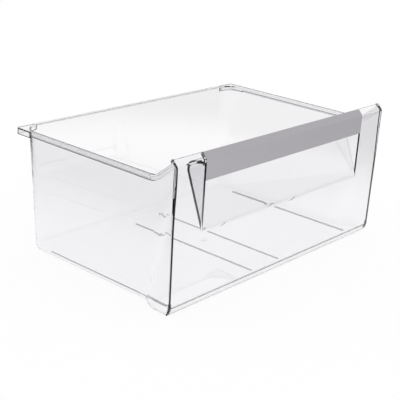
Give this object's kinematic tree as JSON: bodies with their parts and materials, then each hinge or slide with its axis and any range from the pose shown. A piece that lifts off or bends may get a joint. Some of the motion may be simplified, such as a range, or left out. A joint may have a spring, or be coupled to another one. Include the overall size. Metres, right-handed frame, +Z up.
{
  "type": "crisper drawer",
  "caption": "Clear plastic refrigerator crisper drawer with drafted walls, a runner rim, a finger pocket in its front and a grey grip strip.",
  "frame": {"origin": "middle of the footprint, on the plane through the skid ribs' undersides that the drawer rests on", "axes": "+X to the right as seen from the front, +Y from the front panel to the rear, +Z up; the drawer pulls out along -Y"},
  "size_m": [0.45, 0.293, 0.2053],
  "materials": {
    "clear_plastic": "clear polystyrene, polished mould finish, faint cool grey tint",
    "grey_plastic": "opaque grey, fine satin moulded finish"
  },
  "bodies": {
    "root": {"drawer_tub": "clear_plastic", "grip_strip": "grey_plastic"}
  },
  "joints": []
}
